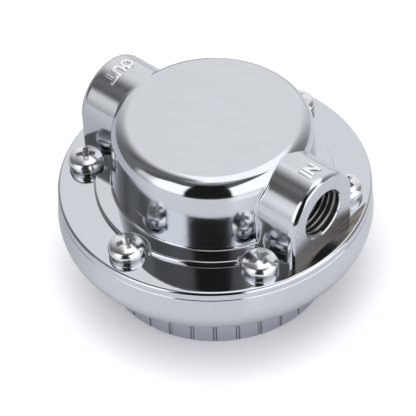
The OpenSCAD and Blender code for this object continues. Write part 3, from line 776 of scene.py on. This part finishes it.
# %% carve the top housing
chamber = turned("chamber", [(0, CHAMBER_Z), (CHAMBER_R, CHAMBER_Z), (CHAMBER_R, CHAMBER_TOP),
                             (HOLLOW_R, CHAMBER_TOP), (HOLLOW_R, HOLLOW_Z), (0, HOLLOW_Z)])
across, port = (1, 0, 0), (0, 0, PORT_Z)
carve(top_cover, ("UNION", plinth), ("UNION", turret), ("UNION", boss(1)), ("UNION", boss(-1)),
      ("DIFFERENCE", chamber),
      ("UNION", rod(TOWER_R, HOLLOW_Z + PAST - TOWER_Z, (0, 0, TOWER_Z))),
      ("UNION", rod(BRIDGE_R, BRIDGE_LONG, port, across)),
      ("DIFFERENCE", rod(WELL_R, WELL_Z + PAST - TOWER_Z, (0, 0, TOWER_Z - PAST))),
      ("DIFFERENCE", rod(INLET_R, INLET_LONG, port, across)),
      ("DIFFERENCE", bore(1)), ("DIFFERENCE", bore(-1)),
      ("DIFFERENCE", rod(OUTLET_R, OUTLET_LONG, (OUTLET_X, 0, PORT_Z), across)),
      *screw_holes(SEAM_Z - PAST, COVER_HOLE))
share = exact_normals(top_cover.data, (FLANGE_Z, PLINTH_Z), math.radians(CONE))
print("top cover", len(top_cover.data.polygons), "faces,",
      round(100 * share, 1), "% on noted surfaces")


# %% hand the top housing over
def dress(thing, *materials):
    """Scales a finished piece to metres and gives it its finishes."""
    thing.data.transform(Matrix.Scale(MM, 4))
    thing.data.materials.clear()
    for material in materials:
        thing.data.materials.append(material)


def settle(thing, body, slot, *materials, replaces=()):
    """Dresses a piece that rides on one body of the frame."""
    dress(thing, *materials)
    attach(thing, body)
    if replaces:
        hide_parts(*replaces)


def stretch(thing, material, node):
    """Dresses a piece, fixes its place in the scene and hides the CAD node that it stands in for.
    """
    dress(thing, material)
    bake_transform(thing)
    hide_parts(node)


settle(top_cover, "housing", "chrome", chrome, turned_chrome, milled, bore_metal_painted_dark, brushed,
       wall_chrome, replaces=("top_housing",))
print(top_cover.name, len(top_cover.data.materials), "finishes")

# %% [markdown]
# ## Finishes of the top housing
# One casting shows six finishes: the plated skin, the turned flange, the milled port faces, the cut
# bores, the brushed top and the polished walls. It could be split into six pieces, but chrome would
# show their seams. So it stays whole, and each face takes its finish by where it lies.

# %% finishes of the top housing
PLAIN, TURNED, MILLED, CUT, BRUSHED, POLISHED = range(6)
NEAR, WALL_FROM, WALL_PAST, BORE_FROM, BOSS_SEEN = 0.02, 23.5, 0.2, 10.0, 20.0
FLAT_TOP = 0.9999


def finish_of(x, y, z, up):
    """Which finish a face gets, by its centre in mm and how far it looks up."""
    off_port = math.hypot(y, z - PORT_Z)
    if up > LEVEL and min(abs(z - FLANGE_Z), abs(z - PLINTH_Z)) < NEAR:
        return TURNED
    if abs(abs(x) - FACE_X) < NEAR:
        return MILLED
    if off_port < PORT_R + NEAR and abs(x) > BORE_FROM:
        return CUT
    if up > FLAT_TOP and z > TOP_Z - NEAR:
        return BRUSHED
    on_wall = PLINTH_Z < z < arc_z + WALL_PAST and WALL_FROM < math.hypot(x, y) < TURRET_R
    on_boss = BOSS_SEEN < abs(x) < FACE_X - BOSS_EDGE and z > FLANGE_Z and (
        abs(abs(y) - BOSS_R) < NEAR or abs(off_port - BOSS_R) < NEAR)
    return POLISHED if on_wall or on_boss else PLAIN


for face in top_cover.data.polygons:
    face.material_index = finish_of(*face.center / MM, face.normal.z)
polished = sum(face.material_index == POLISHED for face in top_cover.data.polygons)
print("polished walls", polished, "faces")

# %% [markdown]
# ## Cast fillets beside the bosses
# Where a boss runs into the turret, the mould leaves a small round corner. On chrome it shows as a
# thin bright line. A Bevel on the Boolean's jagged seam would break, so the corner is made as a
# ball rolls: the ball's centre keeps one radius off both surfaces, and the strip runs between the
# two points where the ball touches them.


# %% fillet strips
def turret_skin(z, gap):
    """Radius of the turret's outside, moved out by gap, and its normal as (r, z), at height z."""
    reach = TOP_ROUND + gap
    if z <= arc_z + reach * math.sin(tilt):
        radius = TURRET_R - (z - PLINTH_Z) * math.tan(tilt) + gap / math.cos(tilt)
        return radius, math.cos(tilt), math.sin(tilt)
    up = (z - arc_z) / reach
    level_part = math.sqrt(max(1 - up * up, 0.0))
    return arc_r + reach * level_part, level_part, up


def fillet_strip(side, ball=0.6, count=120, across=6, skin=0.12, sunk=0.3):
    """Rolling-ball corner between one boss and the turret, with a thin back inside the metal."""
    low = PLINTH_Z - sunk
    legs = PORT_Z - low
    half = BOSS_R + ball
    length = 2 * legs + math.pi * half
    sections = []
    for i in range(count + 1):
        s = length * i / count
        if s < legs:
            y, z, ny, nz = -half, low + s, -1.0, 0.0
        elif s > length - legs:
            y, z, ny, nz = half, low + length - s, 1.0, 0.0
        else:
            a = (s - legs) / half
            ny, nz = -math.cos(a), math.sin(a)
            y, z = half * ny, PORT_Z + half * nz
        ring_r, nr, up = turret_skin(min(z, TOP_Z + ball - 1e-4), ball)
        centre = Vector((side * math.sqrt(ring_r ** 2 - y ** 2), y, z))
        to_turret = -Vector((centre.x / ring_r * nr, centre.y / ring_r * nr, up))
        to_boss = -Vector((0, ny, nz))
        row = [centre + to_turret.slerp(to_boss, k / across) * ball for k in range(across + 1)]
        deep = (to_turret + to_boss).normalized()
        row += [p + deep * skin for p in (row[-1], row[0])]
        sections.append(row)
    return loft("strip", sections)


def smooth(thing, sharp):
    """Shades a piece smooth up to a sharp angle in degrees."""
    thing.data.shade_smooth()
    thing.data.set_sharp_from_angle(angle=math.radians(sharp))


strips = [fillet_strip(side) for side in (1, -1)]
boss_fillets = strips[0]
with bpy.context.temp_override(active_object=boss_fillets, selected_editable_objects=strips):
    bpy.ops.object.join()
boss_fillets.name = "boss_fillets"
smooth(boss_fillets, 50)
settle(boss_fillets, "housing", "chrome", chrome)
print("fillet strips", len(boss_fillets.data.polygons), "faces")

# %% [markdown]
# ## Repeating pieces with Geometry Nodes
# Six equal screws, the ticks of the scale, the pipe threads and the two springs all repeat one
# small shape. They could be copied in a loop, but a node tree says the rule once: set one piece
# on every point of a ring, or sweep one outline along a coil. The result is made a plain mesh.


# %% rule makers
def rule(name, **inputs):
    """Geometry node tree with named inputs. Returns the tree, its inputs and its output."""
    tree = bpy.data.node_groups.new(name, "GeometryNodeTree")
    kinds = {float: "NodeSocketFloat", int: "NodeSocketInt", tuple: "NodeSocketVector",
             bpy.types.Material: "NodeSocketMaterial"}
    tree.interface.new_socket("Shape", in_out="INPUT", socket_type="NodeSocketGeometry")
    for label, kind in inputs.items():
        tree.interface.new_socket(label, in_out="INPUT", socket_type=kinds[kind])
    tree.interface.new_socket("Shape", in_out="OUTPUT", socket_type="NodeSocketGeometry")
    return tree, tree.nodes.new("NodeGroupInput").outputs, tree.nodes.new("NodeGroupOutput").inputs


def end_rule(tree, shape, given, result):
    """Places the shape, realizes it and gives it its finish."""
    shape = add(tree, "GeometryNodeTransform", Geometry=shape, Rotation=given["Rotation"],
                Translation=given["Place"])
    shape = add(tree, "GeometryNodeRealizeInstances", Geometry=shape)
    shape = add(tree, "GeometryNodeSetMaterial", Geometry=shape, Material=given["Finish"])
    tree.links.new(shape, result["Shape"])


def grow(name, start, tree, **values):
    """Runs a rule on a start object and returns the outcome as a plain mesh object."""
    step = start.modifiers.new(tree.name, "NODES")
    step.node_group = tree
    for item in tree.interface.items_tree:
        if item.in_out == "INPUT" and item.name in values:
            step[item.identifier] = values[item.name]
    start.update_tag()
    mesh = plain_mesh(start)
    bpy.data.objects.remove(start)
    mesh.name = name
    return linked(name, mesh)


# %% ring rule
ring_rule, given, result = rule("ring_of_pieces", Count=int, Radius=float, Loose=float, Seed=int,
                                Rotation=tuple, Place=tuple, Finish=bpy.types.Material)
spots = add(ring_rule, "GeometryNodeMeshCircle", Vertices=given["Count"], Radius=given["Radius"])
index = add(ring_rule, "GeometryNodeInputIndex")
outward = maths("DIVIDE", maths("MULTIPLY", index, math.tau), given["Count"])
loose = add(ring_rule, "FunctionNodeRandomValue", out=1, props={"data_type": "FLOAT"}, s2=0.0,
            s3=given["Loose"], Seed=given["Seed"])
spin = add(ring_rule, "ShaderNodeCombineXYZ", Z=maths("ADD", outward, loose))
copies = add(ring_rule, "GeometryNodeInstanceOnPoints", Points=spots, Instance=given["Shape"],
             Rotation=add(ring_rule, "FunctionNodeEulerToRotation", Euler=spin))
end_rule(ring_rule, copies, given, result)
print(ring_rule.name, len(ring_rule.nodes), "nodes")

# %% coil rule
coil_rule, given, result = rule("outline_along_coil", Radius=float, Turns=float, Low=float,
                                High=float, Flat=float, Points=int, Rotation=tuple, Place=tuple,
                                Finish=bpy.types.Material)
line = add(coil_rule, "GeometryNodeMeshLine", Count=given["Points"])
path = add(coil_rule, "GeometryNodeMeshToCurve", Mesh=line)
index = add(coil_rule, "GeometryNodeInputIndex")
wound = maths("DIVIDE", maths("MULTIPLY", index, given["Turns"]),
              maths("SUBTRACT", given["Points"], 1.0))
climb = add(coil_rule, "ShaderNodeMapRange", s0=wound, s1=given["Flat"],
            s2=maths("SUBTRACT", given["Turns"], given["Flat"]), s3=given["Low"], s4=given["High"])
angle = maths("MULTIPLY", wound, math.tau)
spot = add(coil_rule, "ShaderNodeCombineXYZ", Z=climb,
           X=maths("MULTIPLY", given["Radius"], maths("COSINE", angle)),
           Y=maths("MULTIPLY", given["Radius"], maths("SINE", angle)))
path = add(coil_rule, "GeometryNodeSetPosition", Geometry=path, Position=spot)
path = add(coil_rule, "GeometryNodeSetCurveNormal", Curve=path, props={"mode": "Z_UP"})
outline = add(coil_rule, "GeometryNodeMeshToCurve", Mesh=given["Shape"])
swept = add(coil_rule, "GeometryNodeCurveToMesh",
            **{"Curve": path, "Profile Curve": outline, "Fill Caps": True})
end_rule(coil_rule, swept, given, result)
print(coil_rule.name, len(coil_rule.nodes), "nodes")

# %% [markdown]
# ## Cover screws
# Six pan-head screws with a cross recess hold the housings together. The head is turned with a flat
# dome and a round rim that tucks in towards the flange, which throws the narrow bright and dark
# bands in the picture. The recess could be a dark material, but its walls catch light, so it is
# carved with a tapered cross. The punch leaves it rougher than the plated head, and its colour is
# a little darker as painted shade, so its faces get a finish of their own, and each screw stops at
# its own turn.

# %% cover screws
surfaces.clear()
HEAD_R, HEAD_H, RIM, DOME = 4.4, 3.9, 1.75, 9.0
SHANK_R, TIP_R, SHANK_LONG, TIP_LONG = 2.4, 1.9, 12.0, 0.6
lean_in = math.asin((HEAD_R - RIM) / (DOME - RIM))
rim_z = HEAD_H - DOME + (DOME - RIM) * math.cos(lean_in)
dome_from = 90 - math.degrees(lean_in)
tuck = -math.degrees(math.asin(rim_z / RIM))
screw = turned("screw", [(0, -SHANK_LONG), (TIP_R, -SHANK_LONG), (SHANK_R, TIP_LONG - SHANK_LONG),
                         (SHANK_R, 0), (HEAD_R - RIM, rim_z, RIM, tuck, dome_from),
                         (0, HEAD_H - DOME, DOME, dome_from, 90)], steps=72)
print("screw", len(screw.data.polygons), "faces before its recess")

# %% cross recess
RECESS = ((-2.1, 0.95, 0.36), (-0.9, 2.0, 0.55), (0.5, 2.75, 0.72))  # height, reach, half width
CORE = ((0, -2.2), (0.7, -2.1), (1.35, 0.5), (0, 0.5))  # radius, height, both from the head's top
RECESS_R, RECESS_SKIN, RECESS_DEEP = 2.8, 0.03, 2.4


def wing(turn):
    """One bar of the cross recess, narrowing towards its bottom."""
    c, s = math.cos(turn), math.sin(turn)
    sections = []
    for up, reach, width in RECESS:
        corners = [(-reach, -width), (reach, -width), (reach, width), (-reach, width)]
        sections.append([(x * c - y * s, x * s + y * c, HEAD_H + up) for x, y in corners])
    return loft("wing", sections)


core = turned("core", [(r, HEAD_H + up) for r, up in CORE], steps=32)
carve(screw, ("DIFFERENCE", wing(0)), ("DIFFERENCE", wing(math.pi / 2)), ("DIFFERENCE", core))
exact_normals(screw.data)
cover_screws = grow("cover_screws_bright", screw, ring_rule, Count=6, Radius=SCREW_R,
                    Loose=math.pi / 2, Seed=4, Rotation=(0, 0, math.radians(30)),
                    Place=(0, 0, FLANGE_Z), Finish=bright_zinc)
settle(cover_screws, "housing", "plated_steel", bright_zinc, recess_zinc_painted_shade,
       replaces=("cover_screws",))
for face in cover_screws.data.polygons:
    x, y, z = face.center / MM
    off = min(math.hypot(x - sx, y - sy) for sx, sy, _ in screw_spots)
    under = FLANGE_Z + HEAD_H - DOME + math.sqrt(DOME ** 2 - min(off, HEAD_R) ** 2) - z
    face.material_index = int(off < RECESS_R and RECESS_SKIN < under < RECESS_DEEP)
print("screws", len(cover_screws.data.polygons), "faces")

# %% [markdown]
# ## Pipe threads
# Both ports carry a 1/4-18 pipe thread. The CAD bore is plain at the thread's pitch line, so the
# crests are added here: a ridge with 60 degree flanks swept along a coil of 1.41 mm pitch, standing
# inwards from the bore. A bump would not show the notched outline at the mouth.

# %% pipe threads
PITCH, CREST, CREST_FLAT, THREAD_SUNK = 1.41, 0.57, 0.09, 0.05
THREAD_TURNS, THREAD_STEPS, THREAD_BACK = 7.0, 72, 0.6


def outline_mesh(name, points):
    """Closed flat outline of edges, to be swept."""
    mesh = bpy.data.meshes.new(name)
    edges = [(i, (i + 1) % len(points)) for i in range(len(points))]
    mesh.from_pydata([(x, y, 0) for x, y in points], edges, [])
    return linked(name, mesh)


foot, crest = CREST_FLAT / 2 + CREST * math.tan(math.radians(30)), CREST_FLAT / 2
ridge = [(THREAD_SUNK, foot), (0, foot), (-CREST, crest),
         (-CREST, -crest), (0, -foot), (THREAD_SUNK, -foot)]
thread_long = THREAD_TURNS * PITCH
for name, side in (("inlet_thread", 1), ("outlet_thread", -1)):
    thread = grow(name, outline_mesh(name, ridge), coil_rule, Radius=PORT_R, Turns=THREAD_TURNS,
                  Low=0.0, High=thread_long, Flat=0.0, Points=int(THREAD_TURNS * THREAD_STEPS),
                  Rotation=(0, side * math.pi / 2, 0),
                  Place=(side * (FACE_X - THREAD_BACK - thread_long), 0, PORT_Z),
                  Finish=bore_metal_painted_dark)
    radii = [math.hypot(v.co.y, v.co.z - PORT_Z) for v in thread.data.vertices]
    print(name, "radius", round(min(radii), 2), "to", round(max(radii), 2))
    thread.data.shade_smooth()
    settle(thread, "housing", "chrome", bore_metal_painted_dark)

# %% [markdown]
# ## Springs
# The main spring and the small poppet spring are round wire with closed ends. The CAD solids are
# coarse facets, so the same coils are swept again with a round outline. The main spring stands
# between two moving parts: the seat pushes it from below and the diaphragm from above. One rigid
# piece would cut into one of them, so it is parted halfway up into two pieces.

# %% springs
SPRINGS = {"main_spring": {"radius": 12.3, "wire": 1.0, "low": 6.0, "high": 23.4, "turns": 6.0},
           "poppet_spring": {"radius": 3.1, "wire": 0.3, "low": 39.11, "high": WELL_Z,
                             "turns": 5.0}}
WIRE_SIDES, TURN_STEPS, CLOSED_TURNS = 14, 48, 0.75
wires = {}
for node, spring in SPRINGS.items():
    wire = spring["wire"]
    disc = [(wire * math.cos(math.tau * i / WIRE_SIDES), wire * math.sin(math.tau * i / WIRE_SIDES))
            for i in range(WIRE_SIDES)]
    coil = grow(node + "_wire", outline_mesh(node, disc), coil_rule, Radius=spring["radius"],
                Turns=spring["turns"], Low=spring["low"] + wire, High=spring["high"] - wire,
                Flat=CLOSED_TURNS, Points=int(spring["turns"] * TURN_STEPS) + 1,
                Rotation=(0, 0, 0), Place=(0, 0, 0), Finish=spring_steel)
    coil.data.shade_smooth()
    print(coil.name, len(coil.data.polygons), "faces")
    wires[node] = coil
stretch(wires["poppet_spring"],
        spring_steel, "poppet_spring")


# %% part the main spring
# End of the spring, the body that pushes it, and the heights between which it gives way.
HALVES = (("lower", "spring_seat", 8.0, 13.5), ("upper", "diaphragm_stack", 21.4, 15.9))


def half_spring(name, whole, keep_low):
    """Half of the swept wire, cut at the ring halfway along it and closed there."""
    shape = bmesh.new()
    shape.from_mesh(whole)
    shape.verts.ensure_lookup_table()
    middle = int(SPRINGS["main_spring"]["turns"] * TURN_STEPS) // 2 * WIRE_SIDES
    far = [v for v in shape.verts
           if (v.index >= middle + WIRE_SIDES if keep_low else v.index < middle)]
    bmesh.ops.delete(shape, geom=far, context="VERTS")
    bmesh.ops.holes_fill(shape, edges=shape.edges)
    half = placed(name, shape)
    smooth(half, 60)
    return half


for end, body, tip_z, cut_z in HALVES:
    half = half_spring("main_spring_" + end, wires["main_spring"].data, end == "lower")
    stretch(half,
            spring_steel, "main_spring")
    print(half.name, len(half.data.polygons), "faces")
bpy.data.objects.remove(wires["main_spring"])

# %% [markdown]
# ## Diaphragm
# A rubber sheet closes the fuel chamber. Its rim is clamped between the housings, its middle goes
# up and down between two plates, and the round roll in between takes up the stroke. One rigid
# sheet would cut through the plates when they move. So the rim stays with the housing, the middle
# rides with the plates, and the roll is a ring of sectors.

# %% diaphragm sizes
SHEET_LOW, SHEET_TOP, HOLE_R, RIM_R = 24.4, 25.25, 2.55, 36.0
ROLL_R, ROLL_Z, ROLL_OUT, ROLL_IN = 21.6, 24.9, 2.5, 1.65
FLAT_IN, FLAT_OUT = 18.6, 24.6
ROLL_PARTS, ROLL_SLIT = 24, 4e-4
meet = math.degrees(math.asin((ROLL_Z - SHEET_LOW) / ROLL_OUT))
wall = (ROLL_OUT + ROLL_IN) / 2
roll = trace([(FLAT_IN, SHEET_TOP), (ROLL_R - wall, SHEET_TOP), (ROLL_R - wall, ROLL_Z),
              (ROLL_R, ROLL_Z, ROLL_IN, 180, 360), (ROLL_R + wall, ROLL_Z),
              (ROLL_R + wall, SHEET_TOP), (FLAT_OUT, SHEET_TOP), (FLAT_OUT, SHEET_LOW),
              (ROLL_R, ROLL_Z, ROLL_OUT, 360 - meet, 180 + meet), (FLAT_IN, SHEET_LOW)], 12.0)
print("roll outline", len(roll), "points")


# %% diaphragm
def sheet(name, inner, outer, body, *cuts):
    """Flat ring of the sheet on one body."""
    surfaces.clear()
    ring = turned(name, [(inner, SHEET_LOW), (outer, SHEET_LOW), (outer, SHEET_TOP),
                         (inner, SHEET_TOP), (inner, SHEET_LOW)])
    if cuts:
        carve(ring, *cuts)
    exact_normals(ring.data)
    settle(ring, body, "black_rubber", rubber, replaces=("diaphragm",))


sheet("diaphragm_middle", HOLE_R, FLAT_IN, "diaphragm_stack")
sheet("diaphragm_rim", FLAT_OUT, RIM_R, "housing", *screw_holes(SHEET_LOW - PAST, SHEET_HOLE))
half_turn = math.pi / ROLL_PARTS - ROLL_SLIT
for k in range(ROLL_PARTS):
    turn = math.tau * k / ROLL_PARTS
    sections = [[(r * math.cos(a), r * math.sin(a), z) for r, z in roll]
                for a in (turn + half_turn * i / 2 for i in range(-2, 3))]
    part = loft(f"diaphragm_roll_{k + 1:02d}", sections)
    smooth(part, 40)
    stretch(part,
            rubber, "diaphragm")
print("diaphragm", ROLL_PARTS + 2, "pieces")

# %% [markdown]
# ## Cast letters and the scale
# IN and OUT stand raised on the two bosses, and the dial's face carries the settings 1 to 5 with
# a tick at every click. Letters could be cut by hand, but a text object with a small bevel is
# quicker and rounder. It is made a mesh and then bent onto the boss or laid on the dial. The
# letters on the bosses get a brighter colour than the chrome round them, a painted highlight.


# %% letters
def lettering(words, size, depth, bevel, bold=0.08):
    """Mesh of a word in millimetres, lying in XY and centred, with its front towards +Z."""
    curve = bpy.data.curves.new("words", "FONT")
    curve.body, curve.size = words, size
    curve.align_x, curve.align_y = "CENTER", "CENTER"
    curve.extrude, curve.bevel_depth, curve.bevel_resolution = depth / 2, bevel, 2
    curve.resolution_u = 6
    curve.offset = bold
    thing = linked("words", curve)
    mesh = plain_mesh(thing)
    bpy.data.objects.remove(thing)
    return mesh


def lay(name, mesh, where, longest=0.8):
    """Moves each point of a word with where(x, y, z) and makes an object of it."""
    shape = bmesh.new()
    shape.from_mesh(mesh)
    bmesh.ops.remove_doubles(shape, verts=shape.verts, dist=1e-4)
    long_edges = [edge for edge in shape.edges if edge.calc_length() > longest]
    bmesh.ops.subdivide_edges(shape, edges=long_edges, cuts=3)
    bmesh.ops.triangulate(shape, faces=shape.faces)
    for v in shape.verts:
        v.co = where(*v.co)
    thing = placed(name, shape)
    smooth(thing, 40)
    return thing


# %% letters on the bosses
LETTER_RISE, LETTER_DEPTH, LETTER_BEVEL, LETTER_BOLD = 0.28, 0.4, 0.15, 0.1
LETTER_X, LETTER_SHIFT = 29.0, 0.8
letter_r = BOSS_R + LETTER_RISE - LETTER_DEPTH / 2 - LETTER_BEVEL


def on_boss(side):
    """Bends a word round the arch of a boss, its top towards the turret."""
    def where(x, y, z):
        a, r = (x + LETTER_SHIFT) / BOSS_R, letter_r + z
        return Vector((side * (LETTER_X - y), side * r * math.sin(a), PORT_Z + r * math.cos(a)))
    return where


for words, side, size in (("IN", 1, 4.4), ("OUT", -1, 4.1)):
    mesh = lettering(words, size, LETTER_DEPTH, LETTER_BEVEL, LETTER_BOLD)
    letters = lay("letters_" + words.lower(), mesh, on_boss(side))
    settle(letters, "housing", "chrome", letter_highlight_chrome)
    print(letters.name, len(letters.data.polygons), "faces")


# %% scale
CLICK, SETTINGS, CLICKS = 40, 5, 9
NUMBER_R, NUMBER_Z, NUMBER_SIZE, NUMBER_DEPTH, NUMBER_BEVEL = 16.2, 0.62, 6.4, 0.5, 0.1
TICK_R, TICK_LONG, TICK_WIDE, TICK_Z = 22.6, 1.3, 0.4, (0.15, 0.85)


def on_dial(turn):
    """Lays a number in the scale ring, to be read from below with its top outwards."""
    out, ring_way = (Vector((math.cos(b), math.sin(b), 0)) for b in (turn, turn + math.pi / 2))
    return lambda x, y, z: out * (NUMBER_R + y) + ring_way * x + Vector((0, 0, NUMBER_Z - z))


for k in range(SETTINGS):
    turn = math.radians(90 - 2 * CLICK * k)
    mesh = lettering(str(k + 1), NUMBER_SIZE, NUMBER_DEPTH, NUMBER_BEVEL)
    number = lay(f"setting_{k + 1}", mesh, on_dial(turn))
    settle(number, "dial", "satin_casting", satin)
bar = loft("tick", [[(x, y, z) for x, y in ((-TICK_LONG, -TICK_WIDE), (TICK_LONG, -TICK_WIDE),
                                            (TICK_LONG, TICK_WIDE), (-TICK_LONG, TICK_WIDE))]
                    for z in TICK_Z])
ticks = grow("setting_ticks", bar, ring_rule, Count=CLICKS, Radius=TICK_R, Loose=0.0, Seed=0,
             Rotation=(0, 0, math.radians(90)), Place=(0, 0, 0), Finish=satin)
settle(ticks, "dial", "satin_casting", satin)
print("scale", len(ticks.data.polygons), "tick faces")
